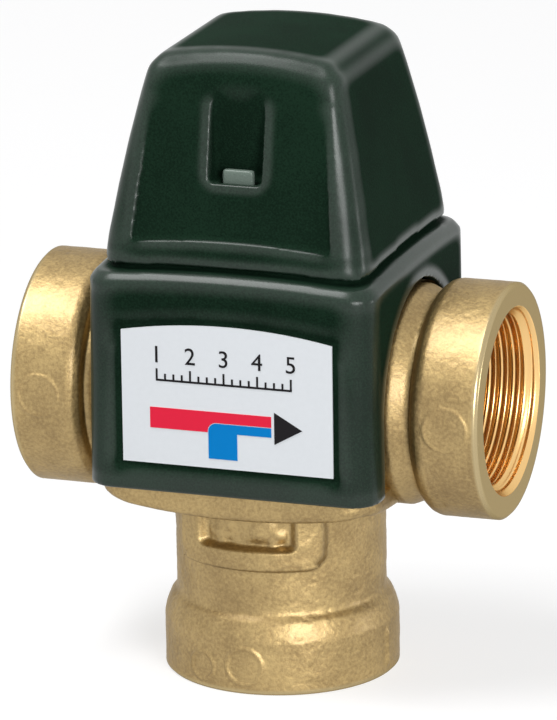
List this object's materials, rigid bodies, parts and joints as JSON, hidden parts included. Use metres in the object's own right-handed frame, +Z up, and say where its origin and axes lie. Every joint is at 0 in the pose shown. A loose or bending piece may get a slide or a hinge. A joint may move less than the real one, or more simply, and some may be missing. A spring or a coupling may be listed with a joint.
{
  "type": "thermostatic mixing valve",
  "caption": "Brass three-port mixing valve with a wax thermostat, screwed knob and lift-off cap; hot from the left, cold from below, mixed to the right.",
  "frame": {"origin": "centre of the bottom port's face, which the valve stands on", "axes": "+Z up along the bottom port and the spindle, +X towards the mixed-water outlet, -Y towards the label"},
  "size_m": [0.07, 0.046, 0.094],
  "materials": {
    "cast_brass": "sand-cast and blasted",
    "turned_brass": "turned",
    "cover_green": "fine moulded grain",
    "cap_green": "fine moulded grain",
    "label_grey": "satin printed film",
    "print_red": "printed",
    "print_blue": "printed",
    "print_black": "printed",
    "seal_rubber": "moulded",
    "knob_plastic": "moulded",
    "stainless": "drawn and turned",
    "copper": "drawn copper alloy"
  },
  "bodies": {
    "valve": {"valve_body": "cast_brass", "lower_cover": "cover_green", "label": "label_grey", "label_hot_bar": "print_red", "label_cold_bar": "print_blue", "label_arrow": "print_black", "bonnet": "turned_brass", "gland": "turned_brass", "bonnet_seal": "seal_rubber", "snap_ring": "stainless", "spring_seat": "turned_brass", "return_spring": "stainless"},
    "pin_group": {"overload_cup": "stainless", "thermostat_pin": "stainless"},
    "knob_group": {"spindle": "turned_brass", "stem_seal": "seal_rubber", "knob": "knob_plastic", "stop_pin": "stainless", "knob_screw": "stainless", "overload_clip": "stainless", "overload_spring": "stainless"},
    "shuttle": {"thermostat_capsule": "copper", "hot_seal": "seal_rubber", "hot_disc": "stainless", "hot_disc_clip": "stainless", "cold_seal": "seal_rubber", "cold_disc": "stainless", "cold_nut": "turned_brass"},
    "cap": {"cap": "cap_green"}
  },
  "joints": [
    {"name": "spindle_travel", "type": "slide", "parent": "valve", "child": "pin_group", "axis": [0, 0, 1], "range_m": [-0.00065, 0.00065]},
    {"name": "knob_turn", "type": "hinge", "parent": "pin_group", "child": "knob_group", "pos_m": [0, 0, 0.078], "axis": [0, 0, 1], "range_deg": [-150, 150]},
    {"name": "thermal_stroke", "type": "slide", "parent": "pin_group", "child": "shuttle", "axis": [0, 0, 1], "range_m": [-0.0008, 0.0008], "stiffness_N_per_m": 4000, "deforming": ["return_spring"]},
    {"name": "cap_lift", "type": "slide", "parent": "valve", "child": "cap", "axis": [0, 0, 1], "range_m": [0, 0.04]}
  ],
  "couplings": [
    {"joint": "spindle_travel", "follows": "knob_turn", "m_per_rad": 0.00023873}
  ]
}
